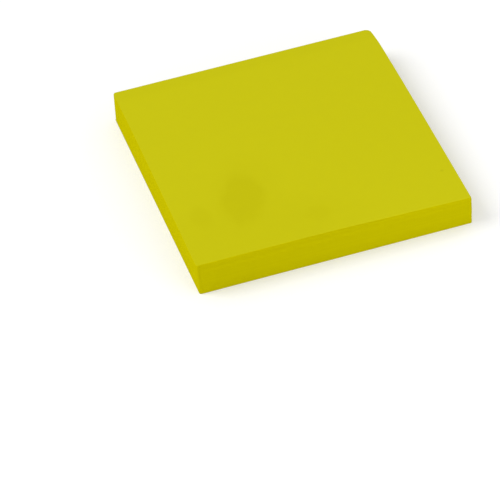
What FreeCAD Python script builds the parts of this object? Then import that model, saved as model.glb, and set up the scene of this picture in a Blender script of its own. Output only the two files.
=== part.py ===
"""Sticky note pad: a square block of gummed notes on a release backing sheet.

Millimetres. The origin is at the middle of the underside, +Z is up through the pad, and +Y
points to the rear edge, where each note is gummed to the next.
"""
import FreeCAD, Part
import os
import Sketcher

doc = FreeCAD.newDocument("StickyNotePad")

# Driving dimensions: alias, value, meaning
SIZES = [
    ("note_width", "76.0", "width of a note, along the gummed edge"),
    ("note_length", "76.0", "length of a note, from the gummed edge to the free edge"),
    ("note_count", "100", "notes in the block"),
    ("note_caliper", "0.0935", "thickness of one note"),
    ("sheet_caliper", "0.1", "thickness of the backing sheet"),
    ("front_bow", "0.3", "rise of the free edge's middle above its ends"),
    ("side_bow", "0.3", "rise of a side edge's middle above its ends"),
    ("front_tilt", "0.5", "rise of the free edge's left end, and drop of its right end"),
    ("corner_radius", "0.6", "rounding of a cut corner"),
    ("knocked_radius", "2.2", "rounding of the knocked corner, at the rear right"),
]

# Heights over the underside of the notes
CORNER_HEIGHT = "Sizes.note_count * Sizes.note_caliper"
RAISED_HEIGHT = f"{CORNER_HEIGHT} + Sizes.side_bow"
STACK_HEIGHT = f"{RAISED_HEIGHT} + Sizes.front_bow + Sizes.front_tilt"

# Where the sections of the crown stand, measured from the middle towards the free edge
FREE_EDGE = "Sizes.note_length / 2"
MIDDLE = "0"
GUMMED_EDGE = "-Sizes.note_length / 2"

# The tilt of a section whose ends stand level
LEVEL = "0"

# The two ends of a sketch element, and the sketch's own origin and upright axis
START_INDEX, END_INDEX = 1, 2
ORIGIN_INDEX = (-1, START_INDEX)
UPRIGHT_INDEX = -2
LOCATION_TOLERANCE = 0.001


def make_sizes():
    """The sheet of driving dimensions that every feature reads."""
    sheet = doc.addObject("Spreadsheet::Sheet", "Sizes")
    for row, (alias, value, meaning) in enumerate(SIZES, start=1):
        sheet.set(f"A{row}", meaning)
        sheet.set(f"B{row}", value)
        sheet.setAlias(f"B{row}", alias)
    doc.recompute()
    return sheet


def add_body(label):
    """A body whose label is the name of the piece."""
    body = doc.addObject("PartDesign::Body", label)
    body.Label = label
    return body


def add_sketch(body, name, role):
    """A sketch that lies on one of the body's own origin planes."""
    sketch = body.newObject("Sketcher::SketchObject", name)
    plane = next(item for item in body.Origin.OriginFeatures if item.Role == role)
    sketch.AttachmentSupport = (plane, "")
    sketch.MapMode = "FlatFace"
    return sketch


def constrain(sketch, kind, *place):
    """Add a rule with no size of its own, such as Vertical."""
    sketch.addConstraint(Sketcher.Constraint(kind, *place))


def bind(sketch, name, kind, place, value, expression):
    """Add a named dimension that starts at value and follows the sheet."""
    sketch.addConstraint(Sketcher.Constraint(kind, *place, value))
    sketch.renameConstraint(sketch.ConstraintCount - 1, name)
    sketch.setExpression(f"Constraints.{name}", expression)


def join_outline(sketch, edges):
    """Close a chain of sketch edges, each end on the next edge's start."""
    for edge, following in zip(edges, edges[1:] + edges[:1]):
        constrain(sketch, "Coincident", edge, END_INDEX, following, START_INDEX)


def note_outline(body):
    """The square outline of a note, centred on the origin."""
    sketch = add_sketch(body, "NoteOutline", "XY_Plane")
    half_width = sizes.note_width / 2
    half_length = sizes.note_length / 2
    corners = [
        FreeCAD.Vector(-half_width, -half_length, 0),
        FreeCAD.Vector(half_width, -half_length, 0),
        FreeCAD.Vector(half_width, half_length, 0),
        FreeCAD.Vector(-half_width, half_length, 0),
    ]
    edges = []
    for corner, following in zip(corners, corners[1:] + corners[:1]):
        edges.append(sketch.addGeometry(Part.LineSegment(corner, following)))
    front, right, rear, left = edges
    join_outline(sketch, edges)
    constrain(sketch, "Horizontal", front)
    constrain(sketch, "Horizontal", rear)
    constrain(sketch, "Vertical", right)
    constrain(sketch, "Vertical", left)
    constrain(sketch, "Symmetric", front, START_INDEX, rear, START_INDEX, *ORIGIN_INDEX)
    across = (front, START_INDEX, front, END_INDEX)
    along = (right, START_INDEX, right, END_INDEX)
    bind(sketch, "width", "DistanceX", across, 2 * half_width, "Sizes.note_width")
    bind(sketch, "length", "DistanceY", along, 2 * half_length, "Sizes.note_length")
    return sketch


def upright_edges(shape, corners):
    """Names of the shape's upright edges that stand at the given plan corners."""
    names = []
    for number, edge in enumerate(shape.Edges, start=1):
        low, high = (vertex.Point for vertex in edge.Vertexes)
        drift = FreeCAD.Vector(high.x - low.x, high.y - low.y, 0).Length
        for x, y in corners:
            offset = FreeCAD.Vector(low.x - x, low.y - y, 0).Length
            if drift < LOCATION_TOLERANCE and offset < LOCATION_TOLERANCE:
                names.append(f"Edge{number}")
    return names


def round_corners(body, solid, name, corners, radius):
    """Round the uprights of a body's solid at the given plan corners."""
    fillet = body.newObject("PartDesign::Fillet", name)
    fillet.Base = (solid, upright_edges(solid.Shape, corners))
    fillet.setExpression("Radius", radius)
    doc.recompute()
    return fillet


def stack_paper(body, thickness):
    """A flat stack with a note's outline, three cut corners and one knocked corner."""
    stack = body.newObject("PartDesign::Pad", "Stack")
    stack.Profile = note_outline(body)
    stack.setExpression("Length", thickness)
    doc.recompute()
    right = sizes.note_width / 2
    rear = sizes.note_length / 2
    cut_corners = [(-right, rear), (-right, -rear), (right, -rear)]
    rounded = round_corners(body, stack, "CutCorners", cut_corners, "Sizes.corner_radius")
    return round_corners(body, rounded, "KnockedCorner", [(right, rear)], "Sizes.knocked_radius")


def crown_section(body, name, station, height_of_ends, tilt, bow):
    """A section through the space above the notes, as wide as they are.

    Its lower line is the top of the block at that station. Its ends stand at one height, apart
    from the tilt, which lifts the left one and drops the right one. The line rises by bow
    between them, and it is straight where bow is None.
    """
    half = sizes.note_width / 2
    height = sizes.note_count * sizes.note_caliper
    crest = height + sizes.front_bow
    ceiling = 2 * crest
    sketch = add_sketch(body, name, "XZ_Plane")
    sketch.setExpression(".AttachmentOffset.Base.z", station)

    low_left = FreeCAD.Vector(-half, height, 0)
    low_right = FreeCAD.Vector(half, height, 0)
    high_left = FreeCAD.Vector(-half, ceiling, 0)
    high_right = FreeCAD.Vector(half, ceiling, 0)
    crest_point = FreeCAD.Vector(0, crest, 0)
    if bow:
        lower_line = Part.Arc(low_right, crest_point, low_left)
    else:
        lower_line = Part.LineSegment(low_right, low_left)
    floor = sketch.addGeometry(lower_line)
    left = sketch.addGeometry(Part.LineSegment(low_left, high_left))
    roof = sketch.addGeometry(Part.LineSegment(high_left, high_right))
    right = sketch.addGeometry(Part.LineSegment(high_right, low_right))

    join_outline(sketch, [floor, left, roof, right])
    constrain(sketch, "Vertical", left)
    constrain(sketch, "Vertical", right)
    constrain(sketch, "Symmetric", roof, START_INDEX, roof, END_INDEX, UPRIGHT_INDEX)
    across = (roof, START_INDEX, roof, END_INDEX)
    up_to_roof = (*ORIGIN_INDEX, roof, START_INDEX)
    up_to_right = (*ORIGIN_INDEX, floor, START_INDEX)
    up_to_left = (*ORIGIN_INDEX, floor, END_INDEX)
    bind(sketch, "width", "DistanceX", across, 2 * half, "Sizes.note_width")
    bind(sketch, "ceiling", "DistanceY", up_to_roof, ceiling, f"2 * ({STACK_HEIGHT})")
    bind(sketch, "right_end", "DistanceY", up_to_right, height, f"{height_of_ends} - {tilt}")
    bind(sketch, "left_end", "DistanceY", up_to_left, height, f"{height_of_ends} + {tilt}")
    if bow:
        peak = sketch.addGeometry(Part.Point(crest_point), True)
        constrain(sketch, "PointOnObject", peak, START_INDEX, floor)
        constrain(sketch, "PointOnObject", peak, START_INDEX, UPRIGHT_INDEX)
        rise = (floor, START_INDEX, peak, START_INDEX)
        bind(sketch, "rise", "DistanceY", rise, sizes.front_bow, f"{bow} + {tilt}")
    return sketch


def make_backing_sheet():
    """The release sheet that covers the gum of the last note."""
    body = add_body("backing_sheet")
    stack_paper(body, "Sizes.sheet_caliper")
    return body


def make_note_block():
    """All the notes as one block, flat at the gummed edge, and bowed and tilted at the free one."""
    body = add_body("note_block")
    body.setExpression(".Placement.Base.z", "Sizes.sheet_caliper")
    stack_paper(body, STACK_HEIGHT)
    bow, tilt = "Sizes.front_bow", "Sizes.front_tilt"
    front = crown_section(body, "FreeEdge", FREE_EDGE, CORNER_HEIGHT, tilt, bow)
    middle = crown_section(body, "Middle", MIDDLE, RAISED_HEIGHT, f"{tilt} / 2", f"{bow} / 2")
    rear = crown_section(body, "GummedEdge", GUMMED_EDGE, CORNER_HEIGHT, LEVEL, None)
    doc.recompute()

    crown = body.newObject("PartDesign::SubtractiveLoft", "Crown")
    crown.Profile = rear
    crown.Sections = [middle, front]
    doc.recompute()
    return body


def check(pieces):
    """Stop if any feature failed, or a piece isn't one sound solid."""
    for item in doc.Objects:
        if {"Invalid", "Error"} & set(item.State):
            raise RuntimeError(f"{item.Label} failed: {item.State}")
    for piece in pieces:
        shape = piece.Shape
        if shape.isNull() or not shape.isValid() or len(shape.Solids) != 1:
            raise RuntimeError(f"{piece.Label} is not one sound solid")


sizes = make_sizes()
pieces = [make_backing_sheet(), make_note_block()]
doc.recompute()
check(pieces)

os.makedirs("parts", exist_ok=True)
for piece in pieces:
    piece.Shape.exportStep(f"parts/{piece.Label}.step")
    print(f"{piece.Label}: {piece.Shape.Volume:.1f} mm3")
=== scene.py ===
"""Sticky note pad: a hundred yellow notes on a backing sheet, on a pale studio floor.

Metres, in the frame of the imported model: the origin is at the middle of the underside, +Z is up
through the pad, and +Y points to the rear edge, where each note is gummed to the next.
"""

import math
import random

import bpy
from bpy.props import FloatProperty, FloatVectorProperty, IntProperty, PointerProperty
from mathutils import Matrix, Vector


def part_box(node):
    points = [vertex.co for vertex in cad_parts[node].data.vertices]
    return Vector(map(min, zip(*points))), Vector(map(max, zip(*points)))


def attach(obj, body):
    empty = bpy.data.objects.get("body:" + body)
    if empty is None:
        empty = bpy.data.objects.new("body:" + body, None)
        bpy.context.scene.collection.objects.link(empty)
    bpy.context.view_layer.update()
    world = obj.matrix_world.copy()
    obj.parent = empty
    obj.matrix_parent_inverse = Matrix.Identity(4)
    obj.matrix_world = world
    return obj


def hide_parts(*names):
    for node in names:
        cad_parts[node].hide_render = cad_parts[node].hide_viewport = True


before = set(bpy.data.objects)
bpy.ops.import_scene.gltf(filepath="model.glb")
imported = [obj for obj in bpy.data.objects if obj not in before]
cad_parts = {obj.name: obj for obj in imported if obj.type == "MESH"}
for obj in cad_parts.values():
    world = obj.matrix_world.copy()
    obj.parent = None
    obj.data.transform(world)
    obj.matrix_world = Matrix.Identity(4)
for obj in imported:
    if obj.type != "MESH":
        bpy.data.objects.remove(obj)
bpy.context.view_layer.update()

bl_info = {
    "name": "Sticky note pad",
    "version": (1, 0, 0),
    "blender": (4, 5, 0),
    "location": "View3D > Sidebar > Note pad",
    "description": "Builds a pad of sticky notes, note by note, in a plain studio",
    "category": "Add Mesh",
}

MM = 0.001
BODY = "root"
LOW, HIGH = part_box("note_block")
CENTRE = (LOW + HIGH) / 2
HALF_WIDTH = (HIGH.x - LOW.x) / 2
HALF_LENGTH = (HIGH.y - LOW.y) / 2


# Sizes, colours and studio values


class NotePadSizes(bpy.types.PropertyGroup):
    """Sizes of the notes that the box of the block does not give."""

    note_count: IntProperty(
        name="Notes",
        description="Number of notes in the block",
        default=100,
        min=50,
        max=200,
    )
    corner_radius: FloatProperty(
        name="Corner radius",
        description="Rounding of the two cut corners at the free edge",
        default=0.6 * MM,
        unit="LENGTH",
    )
    worn_radius: FloatProperty(
        name="Worn corner radius",
        description="Rounding of the worn corner at the rear left",
        default=0.8 * MM,
        unit="LENGTH",
    )
    knocked_radius: FloatProperty(
        name="Knocked corner radius",
        description="Rounding of the knocked corner at the rear right",
        default=1.5 * MM,
        unit="LENGTH",
    )
    knock_depth: FloatProperty(
        name="Knock depth",
        description="How far the knock has pressed the right side in at its rear end",
        default=0.5 * MM,
        unit="LENGTH",
    )
    knock_run: FloatProperty(
        name="Knock run",
        description="Length of the right side that the knock has pressed in",
        default=8.0 * MM,
        unit="LENGTH",
    )
    rear_shift: FloatVectorProperty(
        name="Rear shift",
        description="How far the rear right corner is cut out of square, to the right and "
        "backwards. The rear left one is out the other way",
        default=(-0.1 * MM, 0.22 * MM),
        size=2,
        unit="LENGTH",
    )
    front_bow: FloatProperty(
        name="Free edge bow",
        description="Rise of the top note's free edge, in its middle",
        default=0.3 * MM,
        unit="LENGTH",
    )
    side_bow: FloatProperty(
        name="Side edge bow",
        description="Rise of the top note's side edges, in their middle",
        default=0.3 * MM,
        unit="LENGTH",
    )
    front_tilt: FloatProperty(
        name="Free edge tilt",
        description="Rise of the free edge's left end, and drop of its right end",
        default=0.5 * MM,
        unit="LENGTH",
    )
    gum_band: FloatProperty(
        name="Gum band",
        description="Depth of the gummed band at the rear, where the notes lie tight",
        default=20.0 * MM,
        unit="LENGTH",
    )
    parting: FloatProperty(
        name="Parting",
        description="Depth of the fine parting line between two notes",
        default=0.03 * MM,
        unit="LENGTH",
    )
    soft_edge_inset: FloatProperty(
        name="Soft edge inset",
        description="How far the top note is drawn in at its free edge",
        default=0.14 * MM,
        unit="LENGTH",
    )
    # Over this height the top notes' free edges are also painted lighter, a painted glow
    soft_edge_drop: FloatProperty(
        name="Soft edge drop",
        description="Height of the pile over which its notes are drawn in and lighter",
        default=1.4 * MM,
        unit="LENGTH",
    )
    free_edge_lean: FloatProperty(
        name="Free edge lean",
        description="How far the top of the free edge leans to the left",
        default=0.25 * MM,
        unit="LENGTH",
    )
    corner_push: FloatVectorProperty(
        name="Corner push",
        description="Shift of the top note's front left part to the right and backwards",
        default=(-0.3 * MM, 0.18 * MM),
        size=2,
        unit="LENGTH",
    )
    free_edge_lift: FloatProperty(
        name="Free edge lift",
        description="How far the top note has come up at its free edge, near the middle",
        default=0.05 * MM,
        unit="LENGTH",
    )


class NotePadColours(bpy.types.PropertyGroup):
    """Colours of the papers, as linear light."""

    note: FloatVectorProperty(
        name="Note",
        description="Face of a note",
        default=(0.583, 0.553, 0.0025),
        subtype="COLOR",
        min=0.0,
        max=1.0,
    )
    # Painted shade: the note paper made a little darker and less blue, for yellowish light
    # bounced up from below
    cut_edge_with_painted_bounce: FloatVectorProperty(
        name="Cut edge",
        description="Cut edges of the notes",
        default=(0.586, 0.531, 0.0005),
        subtype="COLOR",
        min=0.0,
        max=1.0,
    )
    liner: FloatVectorProperty(
        name="Backing sheet",
        description="Release paper under the last note",
        default=(0.72, 0.70, 0.62),
        subtype="COLOR",
        min=0.0,
        max=1.0,
    )
    # The finger marks' colour, also used for the broad painted shade at the front left of the top
    # note
    finger_mark_and_shade: FloatVectorProperty(
        name="Finger mark",
        description="Face of a note where a finger has rubbed it",
        default=(0.549, 0.516, 0.0005),
        subtype="COLOR",
        min=0.0,
        max=1.0,
    )


class NotePadStudio(bpy.types.PropertyGroup):
    """Camera and light."""

    azimuth: FloatProperty(
        name="Azimuth",
        description="Turn of the camera round the pad, from straight in front",
        default=math.radians(-16.67),
        subtype="ANGLE",
    )
    elevation: FloatProperty(
        name="Elevation",
        description="Height of the camera over the horizon",
        default=math.radians(42.52),
        subtype="ANGLE",
    )
    roll: FloatProperty(
        name="Roll",
        description="Tilt of the camera about its line of sight",
        default=math.radians(-3.20),
        subtype="ANGLE",
    )
    distance: FloatProperty(
        name="Distance",
        description="Distance of the camera from the pad's underside, along its line of sight",
        default=797.6 * MM,
        unit="LENGTH",
    )
    slide: FloatVectorProperty(
        name="Slide",
        description="Shift of the camera to its right and upwards, off the pad's middle",
        default=(-10.68 * MM, -21.74 * MM),
        size=2,
        unit="LENGTH",
    )
    lens: FloatProperty(
        name="Lens",
        description="Focal length in millimetres, on a sensor 36 mm wide",
        default=211.97,
        unit="CAMERA",
    )
    sky: FloatProperty(
        name="Sky",
        description="Strength of the even light from all round",
        default=0.642,
    )
    key: FloatProperty(
        name="Key lamp",
        description="Power of the large soft lamp over the rear left",
        default=22.3,
        unit="POWER",
    )
    fill: FloatProperty(
        name="Fill lamp",
        description="Power of the low soft lamp at the front right",
        default=0.406,
        unit="POWER",
    )


# Modelling helpers

# Points nearer than NEAR are merged, and edges that turn by less than SMOOTH_ANGLE look smooth
NEAR = 0.001 * MM
SMOOTH_ANGLE = math.radians(18)


def deselect():
    """Object mode, with nothing selected."""
    if bpy.context.object and bpy.context.object.mode != "OBJECT":
        bpy.ops.object.mode_set(mode="OBJECT")
    bpy.ops.object.select_all(action="DESELECT")


def duplicate(obj, name):
    """A copy of an object with a mesh of its own, active and selected."""
    deselect()
    obj.select_set(True)
    bpy.context.view_layer.objects.active = obj
    bpy.ops.object.duplicate()
    copy = bpy.context.object
    copy.name = name
    copy.data.name = name
    return copy


def pick_vertices(obj, test):
    """Enter edit mode with only the vertices selected whose place passes the test."""
    bpy.ops.object.mode_set(mode="EDIT")
    bpy.ops.mesh.select_mode(type="VERT")
    bpy.ops.mesh.select_all(action="DESELECT")
    bpy.ops.object.mode_set(mode="OBJECT")
    for vertex in obj.data.vertices:
        vertex.select = test(vertex.co)
    bpy.ops.object.mode_set(mode="EDIT")


def inset_share(depth):
    """The scale about the pad's upright axis that draws its outline in by a depth."""
    return 1 - depth / HALF_WIDTH


def scale_outline(share):
    """Scale the selection across the pad, about its upright axis."""
    bpy.ops.transform.resize(value=(share, share, 1), center_override=CENTRE)


def raise_ring(height):
    """Extrude the selected outline straight up."""
    bpy.ops.mesh.extrude_region_move(TRANSFORM_OT_translate={"value": (0, 0, height)})


# The block of notes

# Squares of the grid across a note, and edges round each of its corners
SPANS = 24
CORNER_SEGMENTS = 8

# How much of a note's thickness slopes in to the parting below it, and as much again above
LIP_SHARE = 0.13

# The material slots, and the upright share of a paper face's normal
PAPER_FACE, CUT_FACE = 0, 1
FLAT = 0.99

TONE_ATTRIBUTE = "note_tone_and_painted_glow"
NOTE_SEED = 76

# The tone of each note's cut edge, about 1, and the painted glow that makes the top notes' free
# edges lighter
TONE_KEPT = 0.8
TONE_DRIFT = 0.004
TONE_SPREAD = 0.005
TOP_PAINTED_GLOW = 0.06

# How far out of line the notes have slid, each from the one below it
SLIP_KEPT = 0.9
SLIP_DRIFT = 0.006 * MM
SLIP_SPREAD = 0.003 * MM

# Partings that stand open, each round a part of the outline given as an angle in radians. The
# lowest and the top notes lie tight.
OPEN_PARTINGS = 7
TIGHT_BELOW = 14
TIGHT_ABOVE = 7
OPEN_ANGLES = (0.25, 0.9)
OPEN_DEPTHS = (0.03 * MM, 0.07 * MM)
OPEN_AT_GUM = 0.25

# How far over the middle the push of the top notes' front left corner reaches
PUSH_WIDTH = 8 * MM

# How fast the knock fades on the way from the right side to the middle
KNOCK_FALL = 4

# Where the top note's free edge has come up
LIFT_MIDDLE = 5 * MM
LIFT_WIDTH = 16 * MM
LIFT_FALL = 6
LIFT_SHADOW = 0.06 * MM


def crown(sizes, across, back):
    """Rise of the top over its rear corners, at shares of the way across and back."""
    side = sizes.side_bow * (1 - back * back)
    front = sizes.front_bow * (1 - across * across) - sizes.front_tilt * across
    return side + front * (1 - back) / 2


def crest_rise(sizes):
    """How far the crown's highest point stands over the block's rear corners."""
    shares = [2 * step / SPANS - 1 for step in range(SPANS + 1)]
    return max(crown(sizes, across, back) for across in shares for back in shares)


def bell(place, middle, width):
    """A smooth rise to 1 around a middle."""
    return math.exp(-(((place - middle) / width) ** 2))


def round_corner(note, test, radius):
    """Round the corners of a note whose place passes the test."""
    pick_vertices(note, test)
    bpy.ops.mesh.bevel(affect="VERTICES", offset=radius, segments=CORNER_SEGMENTS)


def flat_note(sizes):
    """One note as a flat grid with rounded corners, at the height of the block's underside."""
    deselect()
    bpy.ops.mesh.primitive_grid_add(
        x_subdivisions=SPANS,
        y_subdivisions=SPANS,
        size=1,
        location=(CENTRE.x, CENTRE.y, LOW.z),
    )
    note = bpy.context.object
    note.name = "note"
    note.scale = (2 * HALF_WIDTH, 2 * HALF_LENGTH, 1)
    bpy.ops.object.transform_apply(location=True, rotation=True, scale=True)

    def at_corner(place):
        offset = place - CENTRE
        return abs(offset.x) > HALF_WIDTH - NEAR and abs(offset.y) > HALF_LENGTH - NEAR

    def knocked(place):
        return at_corner(place) and place.x > CENTRE.x and place.y > CENTRE.y

    def worn(place):
        return at_corner(place) and place.x < CENTRE.x and place.y > CENTRE.y

    round_corner(note, knocked, sizes.knocked_radius)
    round_corner(note, worn, sizes.worn_radius)
    round_corner(note, at_corner, sizes.corner_radius)
    bpy.ops.mesh.select_all(action="SELECT")
    scale_outline(inset_share(sizes.parting))
    deselect()
    return note


def cut_edges(note, sizes, caliper):
    """The cut edges of all the notes, as one array of a note's edge between two partings."""
    edges = duplicate(note, "notes")
    bpy.ops.object.mode_set(mode="EDIT")
    bpy.ops.mesh.select_all(action="SELECT")
    bpy.ops.mesh.region_to_loop()
    bpy.ops.mesh.select_mode(type="VERT")
    bpy.ops.mesh.select_all(action="INVERT")
    bpy.ops.mesh.delete(type="VERT")

    lip = LIP_SHARE * caliper
    share = inset_share(sizes.parting)
    bpy.ops.mesh.select_all(action="SELECT")
    raise_ring(lip)
    scale_outline(1 / share)
    raise_ring(caliper - 2 * lip)
    raise_ring(lip)
    scale_outline(share)
    bpy.ops.object.mode_set(mode="OBJECT")

    pile = edges.modifiers.new("Pile", "ARRAY")
    pile.count = sizes.note_count
    pile.use_relative_offset = False
    pile.use_constant_offset = True
    pile.constant_offset_displace = (0, 0, caliper)
    pile.use_merge_vertices = True
    pile.merge_threshold = NEAR
    bpy.ops.object.modifier_apply(modifier=pile.name)
    return edges


def close_block(note, edges, height):
    """Close the cut edges with the underside of the last note and the face of the top one."""
    face = duplicate(note, "face")
    bpy.ops.transform.translate(value=(0, 0, height))
    bpy.ops.object.transform_apply(location=True, rotation=True, scale=True)
    deselect()
    for part in (note, face, edges):
        part.select_set(True)
    bpy.context.view_layer.objects.active = edges
    bpy.ops.object.join()
    bpy.ops.object.mode_set(mode="EDIT")
    bpy.ops.mesh.select_all(action="SELECT")
    bpy.ops.mesh.remove_doubles(threshold=NEAR)
    bpy.ops.mesh.normals_make_consistent(inside=False)
    bpy.ops.object.mode_set(mode="OBJECT")
    return edges


def top_share(sizes, caliper, number):
    """How near a note is to the top, from 0 below the soft edge to 1 at the top note."""
    depth = (sizes.note_count - 1 - number) * caliper
    return max(0.0, 1 - depth / sizes.soft_edge_drop)


def looseness(sizes, place):
    """How free the notes are at a place, from 0 in the gum band to 1 at the free edge."""
    gum_line = CENTRE.y + HALF_LENGTH - sizes.gum_band
    return max(0.0, gum_line - place.y) / (2 * HALF_LENGTH - sizes.gum_band)


def note_tones(sizes):
    """The tone of each note, near that of the notes around it."""
    chance = random.Random(NOTE_SEED)
    drift = 0.0
    tones = []
    for _ in range(sizes.note_count):
        drift = TONE_KEPT * drift + chance.gauss(0, TONE_DRIFT)
        tones.append(1 + drift + chance.gauss(0, TONE_SPREAD))
    return tones


def paint_notes(block, sizes, caliper):
    """Give the paper faces and the cut edges their slots, and each note its tone, with a painted
    glow on the top notes' free edges.
    """
    tones = note_tones(sizes)
    tone = block.data.attributes.new(TONE_ATTRIBUTE, "FLOAT", "FACE")
    for face in block.data.polygons:
        if abs(face.normal.z) > FLAT:
            face.material_index = PAPER_FACE
        else:
            face.material_index = CUT_FACE
            number = int((face.center.z - LOW.z) / caliper)
            # Painted glow: the top notes' free edges are made lighter, for light let through by
            # them
            painted_glow = top_share(sizes, caliper, number) * looseness(sizes, face.center) ** 2
            tone.data[face.index].value = tones[number] + TOP_PAINTED_GLOW * painted_glow


def chance_step(chance, length):
    """A step of about a length in any direction of the plan."""
    return Vector((chance.gauss(0, length), chance.gauss(0, length)))


def note_slips(sizes, chance):
    """How far each note has slid out of line at its free edge."""
    drift = Vector((0, 0))
    slips = []
    for number in range(sizes.note_count):
        lean = Vector((-sizes.free_edge_lean, 0)) * (number / sizes.note_count) ** 2
        drift = SLIP_KEPT * drift + chance_step(chance, SLIP_DRIFT)
        slips.append(lean + drift + chance_step(chance, SLIP_SPREAD))
    return slips


def open_partings(sizes, chance):
    """The partings that stand open: the angle of each one's middle, its width and its depth."""
    numbers = range(TIGHT_BELOW, sizes.note_count - TIGHT_ABOVE)
    openings = {}
    for number in chance.sample(numbers, OPEN_PARTINGS):
        middle = chance.uniform(-math.pi, math.pi)
        openings[number] = (middle, chance.uniform(*OPEN_ANGLES), chance.uniform(*OPEN_DEPTHS))
    return openings


def open_depth(openings, parting, place, loose):
    """How deep a parting stands open at a place."""
    if parting not in openings:
        return 0.0
    middle, width, depth = openings[parting]
    angle = math.remainder(math.atan2(place.y, place.x) - middle, 2 * math.pi)
    return depth * bell(angle, 0, width) * (OPEN_AT_GUM + (1 - OPEN_AT_GUM) * loose)


def off_square(sizes, across, back):
    """How far the cut and the knock have put a place off the square, for all the notes."""
    shift = Vector(sizes.rear_shift) * across * (1 + back) / 2
    ahead = HALF_LENGTH * (1 - back) / sizes.knock_run
    knock = sizes.knock_depth * max(0.0, 1 - ahead) ** 2 * max(0.0, across) ** KNOCK_FALL
    return shift - Vector((knock, 0))


def settle_notes(block, sizes, caliper):
    """Move the notes off their perfect pile: bowed, a little out of line and soft at the top."""
    chance = random.Random(NOTE_SEED)
    slips = note_slips(sizes, chance)
    openings = open_partings(sizes, chance)
    push = Vector(sizes.corner_push)
    top_note = sizes.note_count - 1

    for vertex in block.data.vertices:
        place = vertex.co - CENTRE
        across = place.x / HALF_WIDTH
        back = place.y / HALF_LENGTH
        level = (vertex.co.z - LOW.z) / caliper
        parting = round(level)
        in_parting = abs(level - parting) < LIP_SHARE / 2 and 0 < parting <= top_note
        number = min(int(level + LIP_SHARE / 2), top_note)
        loose = looseness(sizes, vertex.co)
        lift = bell(place.x, LIFT_MIDDLE, LIFT_WIDTH) * max(0.0, -back) ** LIFT_FALL

        near_top = top_share(sizes, caliper, number)
        inset = sizes.soft_edge_inset * loose * (1 - math.sqrt(1 - near_top * near_top))
        if in_parting:
            inset += open_depth(openings, parting, place, loose)
        if in_parting and parting == top_note:
            inset += LIFT_SHADOW * lift

        pushed = near_top * near_top * bell(max(0.0, place.x), 0, PUSH_WIDTH)
        slide = (slips[number] + push * pushed) * loose + off_square(sizes, across, back)
        vertex.co.x = CENTRE.x + place.x * inset_share(inset) + slide.x
        vertex.co.y = CENTRE.y + place.y * inset_share(inset) + slide.y
        vertex.co.z += crown(sizes, across, back) * (level / sizes.note_count) ** 2
        if number == top_note and not in_parting:
            vertex.co.z += sizes.free_edge_lift * lift


class NOTEPAD_OT_notes(bpy.types.Operator):
    """Build the block of notes, note by note"""

    bl_idname = "notepad.notes"
    bl_label = "Notes"

    def execute(self, context):
        sizes = context.scene.note_pad_sizes
        colours = context.scene.note_pad_colours
        height = HIGH.z - LOW.z - crest_rise(sizes)
        caliper = height / sizes.note_count
        note = flat_note(sizes)
        edges = cut_edges(note, sizes, caliper)
        block = close_block(note, edges, height)
        block.data.materials.append(note_face_material(colours))
        block.data.materials.append(cut_edge_material(colours))
        paint_notes(block, sizes, caliper)
        settle_notes(block, sizes, caliper)
        bpy.ops.object.shade_smooth_by_angle(angle=SMOOTH_ANGLE)
        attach(block, BODY)
        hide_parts("note_block")
        deselect()
        return {"FINISHED"}


class NOTEPAD_OT_backing_sheet(bpy.types.Operator):
    """Give the backing sheet its release paper"""

    bl_idname = "notepad.backing_sheet"
    bl_label = "Backing sheet"

    def execute(self, context):
        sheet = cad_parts["backing_sheet"]
        sheet.material_slots[0].material = liner_material(context.scene.note_pad_colours)
        return {"FINISHED"}


# Papers

# Roughness, and the specular level of each surface
MATT = 0.9
SMOOTH = 0.5
NOTE_SHINE = 0.10
EDGE_SHINE = 0.0
LINER_SHINE = 0.3

# How far a paper's tone and roughness vary, and the depth of its relief
CLOUD_TONE = 0.03
CLOUD_ROUGHNESS = 0.08
FIBRE_DEPTH = 0.006 * MM
LINER_ROUGHNESS = 0.15
LINER_DEPTH = 0.003 * MM

# The clouds and fibres in a sheet: their sizes, and the noise that draws them
NOTE_CLOUD, NOTE_FIBRE = 3.0 * MM, 0.3 * MM
EDGE_CLOUD, EDGE_FIBRE = 6.0 * MM, 0.12 * MM
LINER_CLOUD, LINER_FIBRE = 5.0 * MM, 0.4 * MM
CLOUD_NOISE = {"Detail": 3.0, "Roughness": 0.55}
FIBRE_NOISE = {"Detail": 4.0, "Roughness": 0.6, "Distortion": 1.6}

# The share of the fibres in the tone, that of the clouds in the relief, and the middle of a noise
FIBRE_SHARE = 0.5
CLOUD_SHARE = 0.5
NOISE_MIDDLE = 0.5

# The knife's upright drag marks on a cut edge
DRAG_SIZE = 0.5 * MM
DRAG_STRETCH = 50
DRAG_DETAIL = 3.0
DRAG_TONE = 0.03

# A soft spot, in shares of its reach: how ragged its rim is, and where it is full
RAGGED = 0.35
RAGGED_NOISE = {"Scale": 1.4, "Detail": 3.0}
FULL_WITHIN = 0.35


def put(tree, kind, inputs=None, **settings):
    """A node with its settings, and its inputs as values or other nodes' outputs."""
    made = tree.nodes.new(kind)
    for name, value in settings.items():
        setattr(made, name, value)
    for name, value in (inputs or {}).items():
        socket = made.inputs[name]
        if isinstance(value, bpy.types.NodeSocket):
            tree.links.new(value, socket)
        else:
            socket.default_value = value
    return made


def math_node(tree, operation, *values):
    """The result of a calculation on one to three values."""
    return put(
        tree,
        "ShaderNodeMath",
        dict(enumerate(values)),
        operation=operation,
    ).outputs["Value"]


def noise(tree, place, size, looks):
    """A noise from 0 to 1 whose clumps are about a size, read from another node."""
    scale = math_node(tree, "DIVIDE", 1.0, size)
    values = {"Vector": place, "Scale": scale, **looks}
    return put(tree, "ShaderNodeTexNoise", values).outputs["Fac"]


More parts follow.
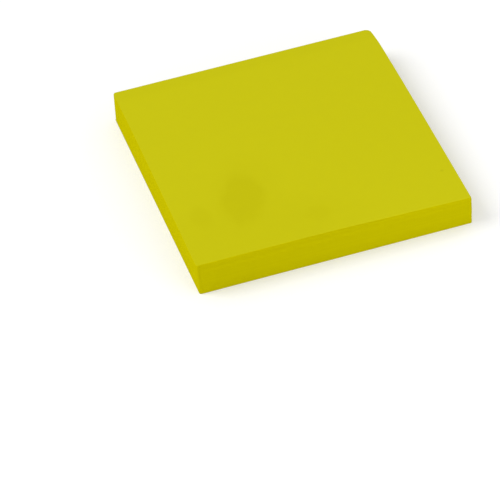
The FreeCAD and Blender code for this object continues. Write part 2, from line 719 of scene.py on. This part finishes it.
def new_group(name, inputs, outputs):
    """An empty node group with named inputs and outputs."""
    tree = bpy.data.node_groups.new(name, "ShaderNodeTree")
    for label, kind, value in inputs:
        socket = tree.interface.new_socket(label, in_out="INPUT", socket_type=kind)
        if value is not None:
            socket.default_value = value
    for label, kind in outputs:
        tree.interface.new_socket(label, in_out="OUTPUT", socket_type=kind)
    entry = tree.nodes.new("NodeGroupInput")
    result = tree.nodes.new("NodeGroupOutput")
    return tree, entry.outputs, result.inputs


def formation_group():
    """The look of paper against light: soft clouds, and fibres that stand up a little."""
    name = "Paper formation"
    if name in bpy.data.node_groups:
        return bpy.data.node_groups[name]
    tree, given, result = new_group(
        name,
        [
            ("Vector", "NodeSocketVector", None),
            ("Cloud size", "NodeSocketFloat", NOTE_CLOUD),
            ("Fibre size", "NodeSocketFloat", NOTE_FIBRE),
        ],
        [("Tone", "NodeSocketFloat"), ("Height", "NodeSocketFloat")],
    )
    clouds = noise(tree, given["Vector"], given["Cloud size"], CLOUD_NOISE)
    fibres = noise(tree, given["Vector"], given["Fibre size"], FIBRE_NOISE)
    both = math_node(tree, "MULTIPLY_ADD", fibres, FIBRE_SHARE, clouds)
    tone = math_node(tree, "SUBTRACT", both, NOISE_MIDDLE * (1 + FIBRE_SHARE))
    height = math_node(tree, "MULTIPLY_ADD", clouds, CLOUD_SHARE, fibres)
    tree.links.new(tone, result["Tone"])
    tree.links.new(height, result["Height"])
    return tree


def spot_group():
    """The mask of a soft-edged spot, which may be long and turned."""
    name = "Soft spot"
    if name in bpy.data.node_groups:
        return bpy.data.node_groups[name]
    tree, given, result = new_group(
        name,
        [
            ("Vector", "NodeSocketVector", None),
            ("Middle", "NodeSocketVector", None),
            ("Turn", "NodeSocketVector", None),
            ("Reach", "NodeSocketVector", None),
            ("Ragged", "NodeSocketFloat", RAGGED),
        ],
        [("Mask", "NodeSocketFloat")],
    )
    place = put(
        tree,
        "ShaderNodeMapping",
        {
            "Vector": given["Vector"],
            "Location": given["Middle"],
            "Rotation": given["Turn"],
            "Scale": given["Reach"],
        },
        vector_type="TEXTURE",
    ).outputs["Vector"]
    ragged = put(tree, "ShaderNodeTexNoise", {"Vector": place, **RAGGED_NOISE}).outputs["Fac"]
    radius = put(tree, "ShaderNodeVectorMath", {0: place}, operation="LENGTH").outputs["Value"]
    rim = math_node(tree, "MULTIPLY_ADD", ragged, 2.0, -1.0)
    uneven = math_node(tree, "MULTIPLY_ADD", rim, given["Ragged"], radius)
    mask = put(
        tree,
        "ShaderNodeMapRange",
        {"Value": uneven, "From Min": 1.0, "From Max": FULL_WITHIN},
        interpolation_type="SMOOTHSTEP",
    ).outputs["Result"]
    tree.links.new(mask, result["Mask"])
    return tree


def use(tree, group, inputs):
    """A node group placed in a material, with its own values."""
    return put(tree, "ShaderNodeGroup", inputs, node_tree=group).outputs


def formation(tree, place, cloud, fibre):
    """The paper formation placed in a material, with the sizes of its clouds and fibres."""
    values = {"Vector": place, "Cloud size": cloud, "Fibre size": fibre}
    return use(tree, formation_group(), values)


def paper(name, roughness, shine):
    """A material for paper, its tree, its shader and the place of each point in the pad."""
    material = bpy.data.materials.new(name)
    material.use_nodes = True
    tree = material.node_tree
    shader = tree.nodes["Principled BSDF"]
    shader.inputs["Roughness"].default_value = roughness
    shader.inputs["Specular IOR Level"].default_value = shine
    place = put(tree, "ShaderNodeTexCoord").outputs["Object"]
    return material, tree, shader, place


def mixed(tree, share, first, second):
    """A colour between two others, by a share that varies over the surface."""
    made = put(tree, "ShaderNodeMix", {"Factor": share}, data_type="RGBA")
    sockets = [socket for socket in made.inputs if socket.type == "RGBA"]
    for socket, colour in zip(sockets, (first, second)):
        socket.default_value = (*colour, 1)
    return next(socket for socket in made.outputs if socket.type == "RGBA")


def shaded(tree, colour, light):
    """A colour made lighter or darker by a value that varies over the surface."""
    if not isinstance(colour, bpy.types.NodeSocket):
        colour = tuple(colour)
    return put(
        tree,
        "ShaderNodeVectorMath",
        {0: colour, "Scale": light},
        operation="SCALE",
    ).outputs["Vector"]


def connect(tree, shader, colour, roughness, normal):
    """Feed a shader's colour, roughness and normal."""
    tree.links.new(colour, shader.inputs["Base Color"])
    tree.links.new(roughness, shader.inputs["Roughness"])
    tree.links.new(normal, shader.inputs["Normal"])


def raised(tree, height, depth):
    """The normal of a surface whose relief is a height from 0 to 1 times a depth."""
    return put(
        tree,
        "ShaderNodeBump",
        {"Height": height, "Distance": depth},
    ).outputs["Normal"]


# Marks of handling on the top note, and a broad painted shade at its front left: the middle,
# reach, turn and strength of each
FINGER_TURN = math.radians(-14)
RUBBED_AND_SHADED_SPOTS = [
    ((-18.9 * MM, -17.2 * MM), (7.8 * MM, 12.6 * MM), FINGER_TURN, 1.0),
    ((-16.5 * MM, -11.5 * MM), (12.5 * MM, 14.5 * MM), FINGER_TURN, 0.22),
    ((-2.0 * MM, -29.7 * MM), (5.0 * MM, 4.0 * MM), 0.0, 0.30),
    ((-31.4 * MM, -20.4 * MM), (4.0 * MM, 6.0 * MM), 0.0, 0.35),
    # Painted shade: a broad patch at the front left, darker and less blue, for less sheen there
    ((-22.0 * MM, -34.0 * MM), (40.0 * MM, 22.0 * MM), 0.0, 0.36),
]

# Height of a mark's mask, which is far more than the rise of the top
SPOT_DEPTH = 20 * MM

# A speck of dirt on the top note
SPECK_MIDDLE = (34.3 * MM, -25.3 * MM)
SPECK_REACH = (0.7 * MM, 0.6 * MM)
SPECK_SHADE = 0.09

# Painted shade along the rear of a note, and a painted highlight along its free edge, each with
# the two places on the way back between which it grows
REAR_PAINTED_SHADE = 0.018
REAR_SHADE_FROM, REAR_SHADE_TO = HALF_LENGTH - 5.5 * MM, HALF_LENGTH - 2.5 * MM
# Painted highlight along the top note's free edge
RIM_PAINTED_HIGHLIGHT = 0.02
RIM_FROM, RIM_TO = 0.9 * MM - HALF_LENGTH, 0.2 * MM - HALF_LENGTH


def band(tree, place, low, high, strength):
    """A strength that grows from 0 to its whole between two places on the way back."""
    backward = put(tree, "ShaderNodeSeparateXYZ", {"Vector": place}).outputs["Y"]
    return put(
        tree,
        "ShaderNodeMapRange",
        {"Value": backward, "From Min": low, "From Max": high, "To Max": strength},
        interpolation_type="SMOOTHSTEP",
    ).outputs["Result"]


def spot_on_top(tree, place, middle, reach, turn=0.0):
    """The mask of a soft spot that lies on the top note."""
    values = {
        "Vector": place,
        "Middle": (*middle, HIGH.z),
        "Turn": (0.0, 0.0, turn),
        "Reach": (*reach, SPOT_DEPTH),
    }
    return use(tree, spot_group(), values)["Mask"]


def note_face_material(colours):
    """Face of a note: matt paper with soft clouds, fibres, the marks of handling, painted shade
    at its front left and along its rear, and a painted highlight along its free edge.
    """
    material, tree, shader, place = paper("note paper", MATT, NOTE_SHINE)
    sheet = formation(tree, place, NOTE_CLOUD, NOTE_FIBRE)
    # rubbed holds the finger marks and the broad painted shade
    rubbed = 0.0
    for middle, reach, turn, strength in RUBBED_AND_SHADED_SPOTS:
        spot = spot_on_top(tree, place, middle, reach, turn)
        rubbed = math_node(tree, "MULTIPLY_ADD", spot, strength, rubbed)
    colour = mixed(tree, rubbed, colours.note, colours.finger_mark_and_shade)

    light = math_node(tree, "MULTIPLY_ADD", sheet["Tone"], CLOUD_TONE, 1.0)
    speck = spot_on_top(tree, place, SPECK_MIDDLE, SPECK_REACH)
    light = math_node(tree, "MULTIPLY_ADD", speck, -SPECK_SHADE, light)
    # Painted shade along the rear of the top note, and a painted highlight along its free edge
    gum = band(tree, place, REAR_SHADE_FROM, REAR_SHADE_TO, REAR_PAINTED_SHADE)
    rim = band(tree, place, RIM_FROM, RIM_TO, RIM_PAINTED_HIGHLIGHT)
    light = math_node(tree, "ADD", math_node(tree, "SUBTRACT", light, gum), rim)

    roughness = math_node(tree, "MULTIPLY_ADD", sheet["Tone"], CLOUD_ROUGHNESS, MATT)
    normal = raised(tree, sheet["Height"], FIBRE_DEPTH)
    connect(tree, shader, shaded(tree, colour, light), roughness, normal)
    return material


def cut_edge_material(colours):
    """Cut edges: each note a shade of its own, the top notes' free edges painted lighter, in a
    colour painted darker and less blue for yellowish light bounced up from below, with the
    knife's faint upright drag marks.
    """
    material, tree, shader, place = paper("cut note edges", MATT, EDGE_SHINE)
    sheet = formation(tree, place, EDGE_CLOUD, EDGE_FIBRE)
    note_tone_and_painted_glow = put(
        tree,
        "ShaderNodeAttribute",
        attribute_type="GEOMETRY",
        attribute_name=TONE_ATTRIBUTE,
    ).outputs["Fac"]
    along_knife = put(
        tree,
        "ShaderNodeMapping",
        {"Vector": place, "Scale": (1, 1, 1 / DRAG_STRETCH)},
    ).outputs["Vector"]
    drag = put(
        tree,
        "ShaderNodeTexNoise",
        {"Vector": along_knife, "Scale": 1 / DRAG_SIZE, "Detail": DRAG_DETAIL},
    ).outputs["Fac"]
    # The note tone carries the painted glow on the top notes' free edges
    light = math_node(tree, "MULTIPLY_ADD", sheet["Tone"], CLOUD_TONE, note_tone_and_painted_glow)
    drag_tone = math_node(tree, "SUBTRACT", drag, NOISE_MIDDLE)
    light = math_node(tree, "MULTIPLY_ADD", drag_tone, DRAG_TONE, light)

    roughness = math_node(tree, "MULTIPLY_ADD", sheet["Tone"], CLOUD_ROUGHNESS, MATT)
    relief = math_node(tree, "ADD", sheet["Height"], drag)
    normal = raised(tree, relief, FIBRE_DEPTH)
    connect(tree, shader, shaded(tree, colours.cut_edge_with_painted_bounce, light), roughness, normal)
    return material


def liner_material(colours):
    """Backing sheet: smooth off-white release paper with a faint sheen."""
    material, tree, shader, place = paper("release paper", SMOOTH, LINER_SHINE)
    sheet = formation(tree, place, LINER_CLOUD, LINER_FIBRE)
    light = math_node(tree, "MULTIPLY_ADD", sheet["Tone"], CLOUD_TONE, 1.0)
    roughness = math_node(tree, "MULTIPLY_ADD", sheet["Tone"], LINER_ROUGHNESS, SMOOTH)
    normal = raised(tree, sheet["Height"], LINER_DEPTH)
    connect(tree, shader, shaded(tree, colours.liner, light), roughness, normal)
    return material


# Studio

# The floor, and the glow that makes it white where the camera sees it
FLOOR_SIZE = 8.0
FLOOR_COLOUR = (0.8, 0.8, 0.8, 1.0)
FLOOR_GLOW = 0.26

# Where the lamps stand, and the length of their sides
KEY_PLACE = Vector((-1.45, 0.40, 1.60))
KEY_SIZE = 1.2
FILL_PLACE = Vector((0.15, -0.31, 0.06))
FILL_SIZE = 0.2


def camera_place(studio):
    """The camera's place and turn, as a matrix."""
    azimuth, elevation = studio.azimuth, studio.elevation
    back = Vector(
        (
            math.sin(azimuth) * math.cos(elevation),
            -math.cos(azimuth) * math.cos(elevation),
            math.sin(elevation),
        )
    )
    level = Vector((0, 0, 1)).cross(back).normalized()
    upright = back.cross(level)
    right = math.cos(studio.roll) * level + math.sin(studio.roll) * upright
    up = math.cos(studio.roll) * upright - math.sin(studio.roll) * level
    eye = right * studio.slide[0] + up * studio.slide[1] + back * studio.distance
    turn = Matrix((right, up, back)).transposed().to_4x4()
    return Matrix.Translation(eye) @ turn


def add_lamp(name, place, size, power):
    """A square soft lamp that faces the pad."""
    bpy.ops.object.light_add(type="AREA", location=place)
    lamp = bpy.context.object
    lamp.name = name
    lamp.rotation_euler = (CENTRE - place).to_track_quat("-Z", "Y").to_euler()
    lamp.data.shape = "SQUARE"
    lamp.data.size = size
    lamp.data.energy = power


def add_floor():
    """A pale floor that looks white where nothing shades it."""
    bpy.ops.mesh.primitive_plane_add(size=FLOOR_SIZE, location=(0, 0, 0))
    floor = bpy.context.object
    floor.name = "floor"
    material = bpy.data.materials.new("pale floor")
    material.use_nodes = True
    tree = material.node_tree
    shader = tree.nodes["Principled BSDF"]
    shader.inputs["Base Color"].default_value = FLOOR_COLOUR
    shader.inputs["Roughness"].default_value = MATT
    seen = put(tree, "ShaderNodeLightPath").outputs["Is Camera Ray"]
    glow = put(
        tree,
        "ShaderNodeEmission",
        {"Strength": math_node(tree, "MULTIPLY", seen, FLOOR_GLOW)},
    )
    both = put(tree, "ShaderNodeAddShader")
    tree.links.new(shader.outputs["BSDF"], both.inputs[0])
    tree.links.new(glow.outputs["Emission"], both.inputs[1])
    tree.links.new(both.outputs["Shader"], tree.nodes["Material Output"].inputs["Surface"])
    floor.data.materials.append(material)


def add_world(sky):
    """A world that looks white and lights the pad evenly."""
    world = bpy.data.worlds.new("studio")
    world.use_nodes = True
    tree = world.node_tree
    path = put(tree, "ShaderNodeLightPath").outputs
    seen = math_node(tree, "MAXIMUM", path["Is Camera Ray"], path["Is Transmission Ray"])
    strength = put(
        tree,
        "ShaderNodeMapRange",
        {"Value": seen, "To Min": sky, "To Max": 1.0},
    ).outputs["Result"]
    background = tree.nodes["Background"]
    background.inputs["Color"].default_value = (1.0, 1.0, 1.0, 1.0)
    tree.links.new(strength, background.inputs["Strength"])
    bpy.context.scene.world = world


class NOTEPAD_OT_studio(bpy.types.Operator):
    """Set up the floor, the light and the camera"""

    bl_idname = "notepad.studio"
    bl_label = "Studio"

    def execute(self, context):
        studio = context.scene.note_pad_studio
        deselect()
        add_floor()
        add_world(studio.sky)
        add_lamp("key lamp", KEY_PLACE, KEY_SIZE, studio.key)
        add_lamp("fill lamp", FILL_PLACE, FILL_SIZE, studio.fill)
        bpy.ops.object.camera_add()
        camera = bpy.context.object
        camera.name = "camera"
        camera.matrix_world = camera_place(studio)
        camera.data.lens = studio.lens
        context.scene.camera = camera
        context.scene.view_settings.view_transform = "Standard"
        deselect()
        return {"FINISHED"}


# Panel and start


class NOTEPAD_PT_panel(bpy.types.Panel):
    """The pad's values and its steps, in the sidebar"""

    bl_idname = "NOTEPAD_PT_panel"
    bl_label = "Note pad"
    bl_space_type = "VIEW_3D"
    bl_region_type = "UI"
    bl_category = "Note pad"

    def draw(self, context):
        scene = context.scene
        for values in (scene.note_pad_sizes, scene.note_pad_colours, scene.note_pad_studio):
            box = self.layout.box()
            for name in values.__annotations__:
                box.prop(values, name)
        for operator in OPERATORS:
            self.layout.operator(operator.bl_idname)


VALUES = {
    "note_pad_sizes": NotePadSizes,
    "note_pad_colours": NotePadColours,
    "note_pad_studio": NotePadStudio,
}
OPERATORS = (NOTEPAD_OT_notes, NOTEPAD_OT_backing_sheet, NOTEPAD_OT_studio)


def register():
    """Add the values, the steps and the panel to Blender."""
    for name, group in VALUES.items():
        bpy.utils.register_class(group)
        setattr(bpy.types.Scene, name, PointerProperty(type=group))
    for operator in OPERATORS:
        bpy.utils.register_class(operator)
    bpy.utils.register_class(NOTEPAD_PT_panel)


def unregister():
    """Take the values, the steps and the panel out of Blender."""
    bpy.utils.unregister_class(NOTEPAD_PT_panel)
    for operator in reversed(OPERATORS):
        bpy.utils.unregister_class(operator)
    for name, group in VALUES.items():
        delattr(bpy.types.Scene, name)
        bpy.utils.unregister_class(group)


def main():
    """Build the pad and its studio."""
    register()
    bpy.ops.notepad.notes()
    bpy.ops.notepad.backing_sheet()
    bpy.ops.notepad.studio()


if __name__ == "__main__":
    main()
